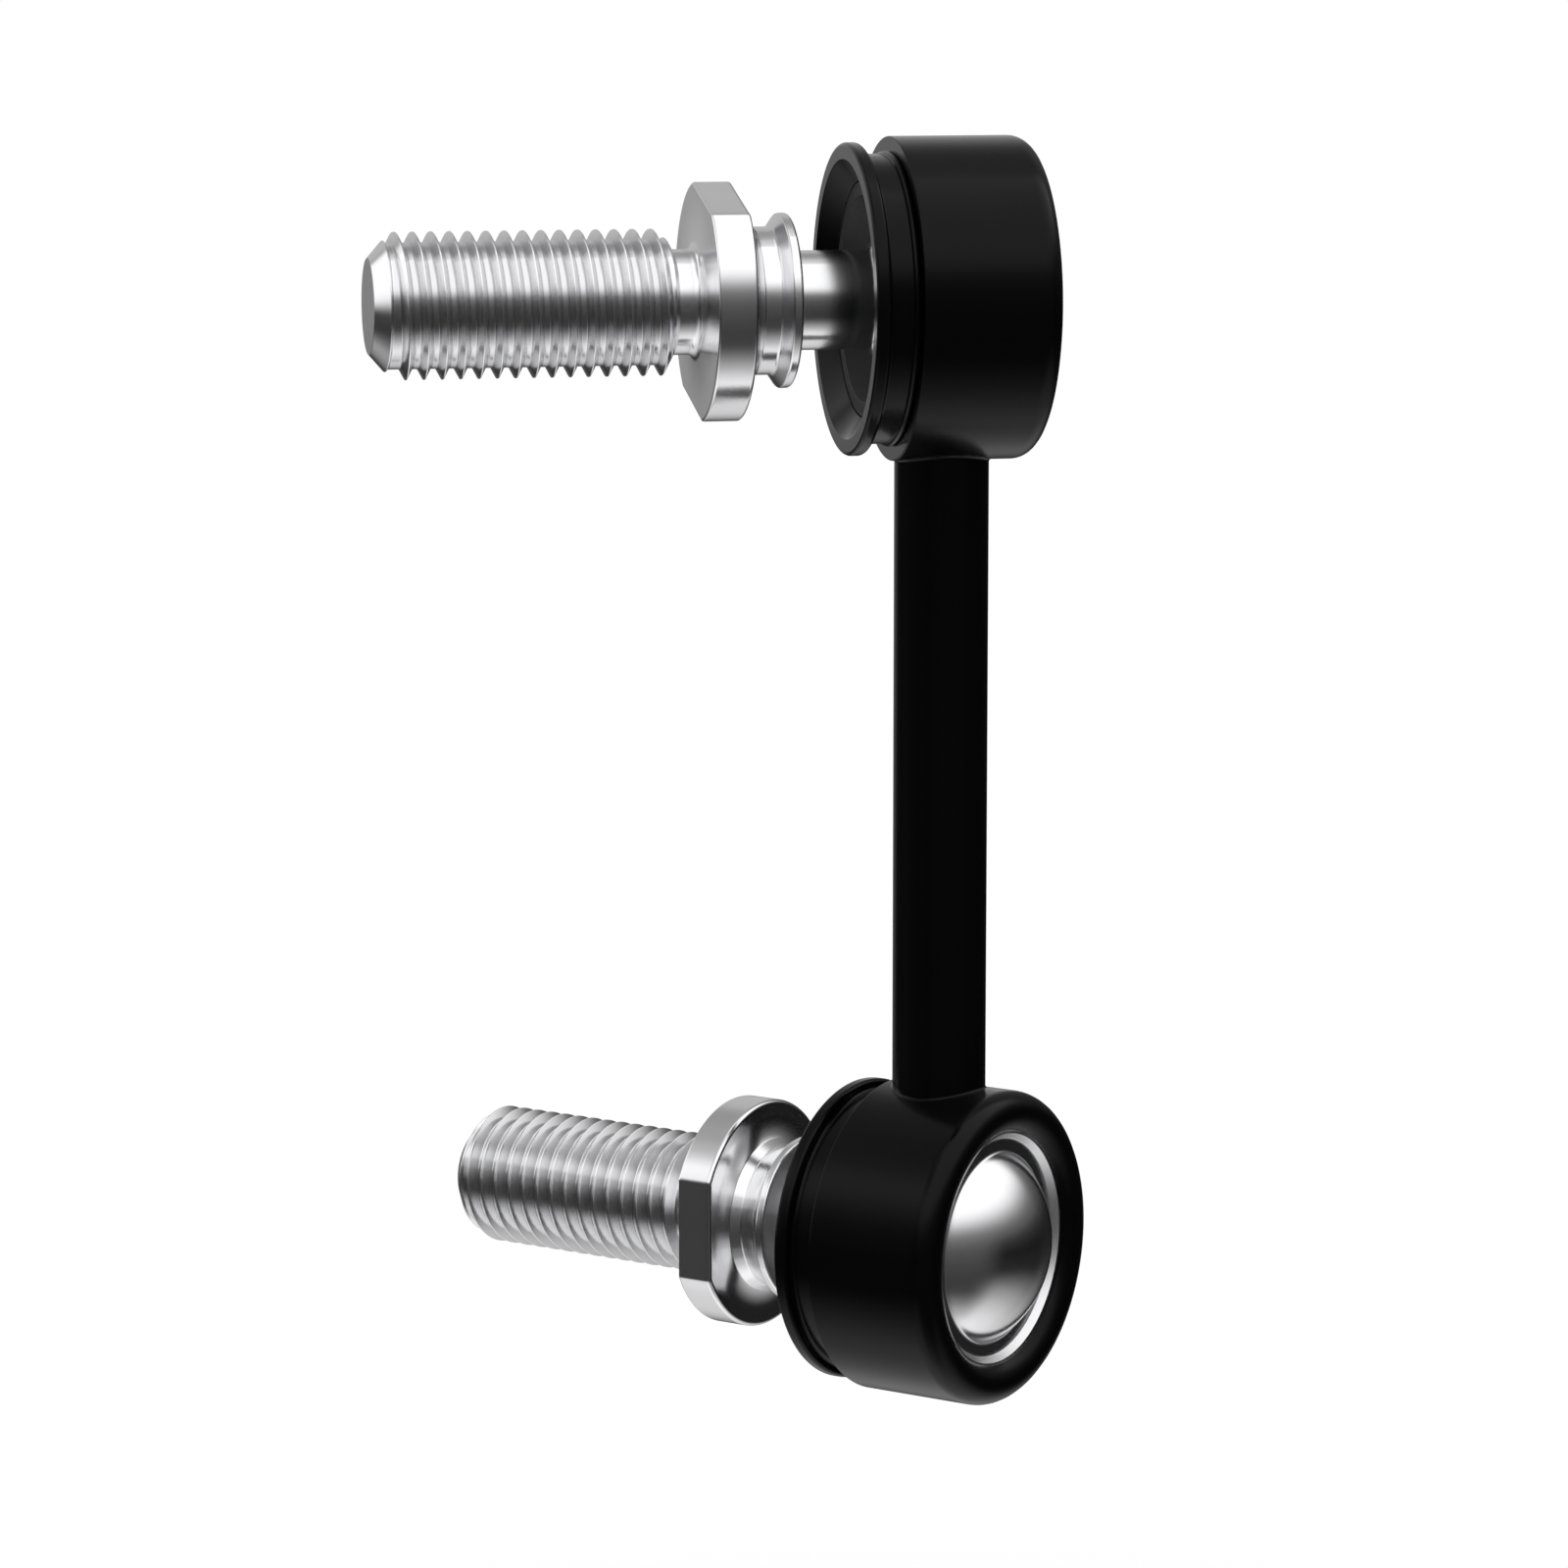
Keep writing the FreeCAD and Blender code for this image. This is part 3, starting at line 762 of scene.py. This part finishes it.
def make_thread(angles):
    """The threaded sleeve. crest_place is where one of its crests lies at angle zero."""
    tooth = subdivide(trace([
        corner(0, root_radius),
        corner(root_width / 2, root_radius, 0.14),
        corner((pitch - crest_width) / 2, thread_radius, 0.04),
        corner((pitch + crest_width) / 2, thread_radius, 0.04),
        corner(pitch - root_width / 2, root_radius, 0.14),
        corner(pitch, root_radius),
    ]), ROW_STEP)[:-1]
    per_turn = len(tooth)
    first = crest_place - pitch / 2
    first -= pitch * math.ceil((first + pitch - thread_from) / pitch)
    turns = math.ceil((thread_to - first) / pitch) + 1
    rows = [(turn * pitch, point) for turn in range(turns) for point in tooth]
    climb = pitch * angles / (2 * math.pi)
    points = []
    for turn_start, point in rows:
        crest = first + turn_start + pitch / 2 + climb
        along = np.clip(first + turn_start + point.real + climb, thread_from, thread_to)
        fade = np.clip((last_crest + crest_runout - crest) / crest_runout, 0, 1)
        radius = root_radius + (point.imag - root_radius) * fade
        envelope = np.interp(
            along, [thread_from, lead_end, thread_to - end_bevel, thread_to],
            [relief_radius, thread_radius, thread_radius, root_radius],
        )
        points.append(ring_at(along, np.minimum(radius, envelope), angles))
    faces = []
    for row in range(len(rows) - 1):
        for column in range(COLUMNS - 1):
            here = row * COLUMNS + column
            faces.append([here, here + 1, here + COLUMNS + 1, here + COLUMNS])
        if row + per_turn + 1 < len(rows):
            here = row * COLUMNS + COLUMNS - 1
            there = (row + per_turn) * COLUMNS
            faces.append([here, there, there + COLUMNS, here + COLUMNS])
    return np.concatenate(points), faces


print("the thread is", len(make_thread(even_angles)[1]), "faces before welding")

# %% [markdown]
# The ball studs
#
# A stud is one forging: the ball, a neck, a flange and a groove that hold the boot, a collar with two wrench
# flats, a relief and the thread. The outline is traced in two halves with the thread between them. A flat is
# a limit on the radius at each angle. Five columns of points are moved to each of its edges, and the limit is
# eased there, so that the edge is slightly round and catches the light.

# %% Forge and turn the studs
ball_radius, ball_flat, neck_radius = 7.5, -7.0, 4.07
flange_back, flange_radius = 13.85, 7.15
boot_groove_start, boot_groove_end, boot_groove_radius = 14.62, 16.0, 6.05
shoulder_line, shoulder_radius = 16.82, 6.57
collar_start, collar_end = 17.3, 20.57
collar_radius, face_radius, across_flats = 9.83, 8.5, 17.7
hub_line, hub_radius, relief_fillet = 20.82, 4.96, 0.66
nose_foot, nose_lip, nose_lip_radius, nose_radius = 46.11, 46.3, 5.33, 3.89
flat_turns = {"upper": -14.8, "lower": 90.0}
flat_edge_softness = 0.035
EDGE_COLUMNS = np.radians((-1.3, -0.55, 0.0, 0.55, 1.3))
SMALLEST_COSINE = 0.01


def cut_flats(end):
    """The columns' angles, with some moved to each edge of the two wrench flats, and how deep each is cut."""
    middle = math.radians(90 + flat_turns[end])
    reach = math.acos(across_flats / 2 / collar_radius)
    angles = even_angles.copy()
    for edge in (middle - reach, middle + reach, middle + math.pi - reach, middle + math.pi + reach):
        gap = (angles - edge + math.pi) % (2 * math.pi) - math.pi
        nearest = np.sort(np.argsort(abs(gap))[:len(EDGE_COLUMNS)])
        order = nearest[np.argsort(gap[nearest])]
        angles[order] = (angles - gap)[order] + EDGE_COLUMNS
    limit = across_flats / 2 / np.maximum(abs(np.cos(angles - middle)), SMALLEST_COSINE)
    spare = limit - collar_radius
    depth = (np.sqrt(spare ** 2 + flat_edge_softness ** 2) - spare) / 2
    return angles, depth


def make_stud_mesh(end):
    """One stud: the turned body with its flats, the thread, and the nose beyond it."""
    neck_start = math.sqrt(ball_radius ** 2 - neck_radius ** 2)
    flat_radius = math.sqrt(ball_radius ** 2 - ball_flat ** 2)
    dish = arc_radius(face_radius - shoulder_radius, collar_start - shoulder_line)
    hub = arc_radius(face_radius - hub_radius, hub_line - collar_end)
    body = trace([
        corner(ball_flat, 0),
        corner(ball_flat, flat_radius, about=(0, 0)),
        corner(neck_start, neck_radius, 0.8),
        corner(flange_front, neck_radius, 0.1),
        corner(flange_front, flange_radius, 0.25),
        corner(flange_back, flange_radius, 0.25),
        corner(boot_groove_start, boot_groove_radius, 0.4),
        corner(boot_groove_end, boot_groove_radius, 0.3),
        corner(shoulder_line, shoulder_radius, 0.15, about=(collar_start - dish, face_radius)),
        corner(collar_start, face_radius),
        corner(collar_start, collar_radius, 0.35),
        corner(collar_end, collar_radius, 0.2),
        corner(collar_end, face_radius, about=(collar_end + hub, face_radius)),
        corner(hub_line, hub_radius, about=(hub_line + relief_fillet, hub_radius)),
        corner(hub_line + relief_fillet, relief_radius),
        corner(thread_from, relief_radius),
    ])
    nose = trace([
        corner(thread_to, root_radius),
        corner(nose_foot, root_radius, 0.05),
        corner(nose_lip, nose_lip_radius, 0.06),
        corner(nose_end, nose_radius, 0.06),
        corner(nose_end, 0),
    ])
    angles, inset = cut_flats(end)
    parts = [
        skin(turned_rings(body, angles, inset, face_radius)),
        make_thread(angles),
        skin(turned_rings(nose, angles)),
    ]
    return weld_mesh(f"{end}_stud", parts)


for end, place in ENDS.items():
    stud_mesh = make_stud_mesh(end)
    steel = bright_steel[end]
    add_piece(
        f"{end}_threaded_stud", stud_mesh, place, f"{end}_stud", steel, f"{end}_ball_stud",
    )

# %% [markdown]
# The rod
#
# The rod is a round bar that stands between the housings, welded on at both ends. Each end follows the round
# of its housing, so the bar isn't turned: every column of points runs from one housing's surface to the
# other's, with the small hollow of the weld where it leaves them.

# %% Weld in the rod
rod_radius, weld_radius, sunk = 3.92, 0.2, 0.2
WELD_STEPS = 8


def housing_surface(end, angles, radius):
    """How far from the ball's centre the housing's round lies, over a circle of that radius."""
    along = ENDS[end].to_3x3().col[0]
    off_axis = radius * np.sin(angles - math.atan2(along.y, along.x))
    return np.sqrt(housing_radius ** 2 - off_axis ** 2)


def rod_end(end):
    """Radii and distances from the ball's centre of the rings at one end of the rod, outermost first."""
    foot = weld_radius + rod_radius
    landing = housing_surface(end, even_angles, foot)
    touch = housing_surface(end, even_angles, rod_radius)
    rings = [(np.full(COLUMNS, foot), landing - sunk)]
    for share in np.linspace(0, 1, WELD_STEPS + 1):
        weights = ((1 - share) ** 2, math.sqrt(2) * share * (1 - share), share ** 2)
        radius = foot * weights[0] + rod_radius * (weights[1] + weights[2])
        height = landing * weights[0] + touch * weights[1] + (touch + weld_radius) * weights[2]
        rings.append((np.full(COLUMNS, radius / sum(weights)), height / sum(weights)))
    return rings


def rod_ring(radius, height):
    """A ring round the rod's axis, with a height for each column."""
    return np.stack([radius * np.cos(even_angles), radius * np.sin(even_angles), height], 1)


def make_rod_mesh():
    """The rod, from its lower end inside one housing to its upper end inside the other."""
    centres = {end: place.translation.z / MM for end, place in ENDS.items()}
    rings = [rod_ring(radius, centres["lower"] + height) for radius, height in rod_end("lower")]
    rings += [rod_ring(radius, centres["upper"] - height) for radius, height in reversed(rod_end("upper"))]
    bottom = np.array([[0, 0, rings[0][:, 2].min()]])
    top = np.array([[0, 0, rings[-1][:, 2].max()]])
    return weld_mesh("rod", [skin([bottom, *rings, top])])


rod_mesh = make_rod_mesh()
add_piece("welded_rod", rod_mesh, Matrix.Identity(4), "link", black_coating, "link_rod")

# %% [markdown]
# The floor
#
# A round sheet of pale paper lies some way below the link. A plain disc would end in a hard line against the
# white behind it, so this one fades to clear towards its edge. It is clear for glossy rays too: they are
# meant to meet the room of the next step, and the paper would hide its lower half.

# %% Lay the floor
floor_drop, floor_radius, floor_solid_radius = 75.0, 210.0, 110.0
paper_dark, paper_pale = (0.80, 0.80, 0.80), (0.84, 0.84, 0.84)
FLOOR_SEGMENTS = 96


def make_floor_material():
    """Matt pale paper, clear towards the floor's edge and for glossy rays."""
    material, recipe = new_material("pale_floor")
    place = recipe.node("ShaderNodeTexCoord", output="Object")
    distance = recipe.node("ShaderNodeVectorMath", {"operation": "LENGTH"}, {0: place}, output="Value")
    speckle = noise(recipe, place, cells_per_mm=0.05)
    edge = soft_step(recipe, distance, floor_solid_radius * MM, floor_radius * MM)
    glossy = recipe.node("ShaderNodeLightPath", output="Is Glossy Ray")
    paper = recipe.node("ShaderNodeBsdfPrincipled", {}, {
        "Base Color": blend_colours(recipe, speckle, paper_dark, paper_pale),
        "Roughness": 1.0,
        "Specular IOR Level": 0.0,
    })
    clear = recipe.node("ShaderNodeBsdfTransparent")
    surface = recipe.node("ShaderNodeMixShader", {}, {0: edge + glossy, 1: paper, 2: clear})
    recipe.node("ShaderNodeOutputMaterial", {}, {"Surface": surface})
    return material


def add_floor():
    """Lay a round floor some way below the object."""
    mesh = bpy.data.meshes.new("floor")
    work = bmesh.new()
    bmesh.ops.create_circle(work, cap_ends=True, segments=FLOOR_SEGMENTS, radius=floor_radius * MM)
    work.to_mesh(mesh)
    work.free()
    floor = bpy.data.objects.new("floor", mesh)
    floor.data.materials.append(make_floor_material())
    floor.location = (0, 0, cad_box[0].z - floor_drop * MM)
    bpy.context.scene.collection.objects.link(floor)
    floor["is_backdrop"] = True
    return floor


print("the floor lies", round(-add_floor().location.z / MM, 1), "mm below the lower ball")

# %% [markdown]
# The light
#
# A plain white world lights the link evenly from all sides and is the white behind it, so no lamp is needed.
# Polished steel shows its surroundings, though, and an all white room would leave it white. A picture of a
# studio could be wrapped round the scene, but a few nodes draw a simpler one, whose every level can be set by
# hand. Only glossy rays meet it. It has four walls, and each goes from a bright ceiling through a dark
# horizon to a pale floor, at its own heights. A window stands on the left, and a pale patch of wall behind.

# %% Levels of the walls
# Each pair is a height above the horizon, in degrees, and how bright the wall is there.
FRONT_LEVELS = [
    (-90, 1.3), (-78, 1.05), (-64, 0.6), (-54, 0.33), (-42, 0.09), (-30, 0.05), (-18, 0.06), (-6, 0.08),
    (4, 0.12), (15, 0.26), (22, 0.65), (29, 1.1), (38, 1.3), (90, 1.3),
]
RIGHT_LEVELS = [
    (-90, 1.2), (-64, 0.95), (-54, 0.78), (-44, 0.52), (-34, 0.27), (-24, 0.05), (-14, 0.015), (-5, 0.015),
    (4, 0.07), (15, 0.25), (22, 0.65), (29, 1.1), (38, 1.3), (90, 1.3),
]
LEFT_LEVELS = [
    (-90, 1.1), (-60, 1.0), (-45, 0.65), (-30, 0.12), (-14, 0.045), (3, 0.07), (18, 0.2), (30, 0.7),
    (38, 1.0), (47, 0.65), (58, 0.5), (72, 0.9), (90, 1.3),
]
BACK_LEVELS = [
    (-90, 1.2), (-76, 0.9), (-60, 0.78), (-46, 0.66), (-34, 0.35), (-24, 0.1), (-12, 0.015), (3, 0.06),
    (25, 0.2), (42, 0.32), (55, 0.36), (64, 0.5), (73, 0.8), (82, 1.3), (90, 1.3),
]
BRIGHTEST = 1.3


def ramp_place(degrees):
    """Where a height in degrees lies between straight down, 0, and straight up, 1."""
    return (degrees + 90) / 180


def level_ramp(recipe, height, levels):
    """Turn the height above the horizon into a brightness, from a list of degrees and levels."""
    stops = [(ramp_place(degrees), level / BRIGHTEST) for degrees, level in levels]
    return recipe.node("ShaderNodeValToRGB", {"stops": stops}, {"Fac": height})


print("the room has", len(FRONT_LEVELS), "levels in front and", len(BACK_LEVELS), "behind")

# %% Place the walls, the window and the pale patch
# Agreement is the cosine between a ray and the wall's aim: where the wall begins, and where it is full.
WALLS = (
    {"aim": 8, "agreement": (0.6, 0.95), "levels": FRONT_LEVELS},
    {"aim": -90, "agreement": (0.6, 0.95), "levels": LEFT_LEVELS},
    {"aim": 180, "agreement": (0.35, 0.6), "levels": BACK_LEVELS},
)
WINDOW = {"aim": -113, "half_width": 28, "level": 1.25, "sill": (-8, 8), "lintel": (36, 52)}
PALE_PATCH = {"aim": -174, "half_width": 26, "level": 0.52, "sill": (-18, 6), "lintel": (32, 46)}
# The sides of a patch begin at the first share of its half width and are full at the second.
PATCH_SIDES = (1.25, 0.7)


def towards(recipe, level_direction, degrees):
    """How much a level direction agrees with an azimuth. 0 is towards the viewer, 90 towards +X."""
    azimuth = math.radians(degrees)
    return dot_product(recipe, level_direction, (math.sin(azimuth), -math.cos(azimuth), 0))


def patch_mask(recipe, level_direction, height, patch):
    """Where a bright patch of the wall is: 1 inside it, with soft edges."""
    agreement = towards(recipe, level_direction, patch["aim"])
    half_width = math.radians(patch["half_width"])
    across = soft_step(recipe, agreement, *[math.cos(half_width * share) for share in PATCH_SIDES])
    sill = soft_step(recipe, height, *[ramp_place(degrees) for degrees in patch["sill"]])
    lintel = soft_step(recipe, height, *[ramp_place(degrees) for degrees in reversed(patch["lintel"])])
    return across * sill * lintel


print("the mirrored room has", len(WALLS) + 1, "walls, a window and a pale patch")

# %% Light the room
def mirrored_room(recipe):
    """The colour that glossy rays find in each direction."""
    direction = recipe.node("ShaderNodeTexCoord", output="Generated")
    rise = recipe.node("ShaderNodeSeparateXYZ", {}, {0: direction}, output="Z")
    flat = recipe.node("ShaderNodeVectorMath", {"operation": "MULTIPLY"}, {0: direction, 1: (1, 1, 0)})
    level = recipe.node("ShaderNodeVectorMath", {"operation": "NORMALIZE"}, {0: flat})
    angle = recipe.node("ShaderNodeMath", {"operation": "ARCSINE"}, {0: rise})
    height = angle * (1 / math.pi) + 0.5
    room = level_ramp(recipe, height, RIGHT_LEVELS)
    for wall in WALLS:
        share = soft_step(recipe, towards(recipe, level, wall["aim"]), *wall["agreement"])
        room = blend_colours(recipe, share, room, level_ramp(recipe, height, wall["levels"]))
    for patch in (PALE_PATCH, WINDOW):
        grey = patch["level"] / BRIGHTEST
        share = patch_mask(recipe, level, height, patch)
        room = blend_colours(recipe, share, room, (grey, grey, grey))
    return room


def light_room():
    """A world that is plain white, apart from what glossy rays find."""
    world = bpy.data.worlds.new("studio")
    bpy.context.scene.world = world
    world.use_nodes = True
    # Sampled as a lamp is, the world couldn't tell a glossy ray from another, so it isn't sampled.
    world.cycles.sampling_method = "NONE"
    recipe = Recipe(world.node_tree)
    plain = recipe.node("ShaderNodeBackground", {}, {"Color": (1, 1, 1, 1), "Strength": 1.0})
    room = mirrored_room(recipe)
    mirrored = recipe.node("ShaderNodeBackground", {}, {"Color": room, "Strength": BRIGHTEST})
    glossy_ray = recipe.node("ShaderNodeLightPath", output="Is Glossy Ray")
    mixed = recipe.node("ShaderNodeMixShader", {}, {0: glossy_ray, 1: plain, 2: mirrored})
    recipe.node("ShaderNodeOutputWorld", {}, {"Surface": mixed})
    return world


studio = light_room()
print(studio.name, "has", len(studio.node_tree.nodes), "nodes")

# %% [markdown]
# The sizes
#
# The sizes of the CAD model's box and of the dressed model's box are printed.

# %% Write the sizes and finish
boxes = {"cad": cad_box, "visual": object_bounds()}
for name, box in boxes.items():
    print(name, "box:", [round(value / MM, 2) for value in box[1] - box[0]], "mm")
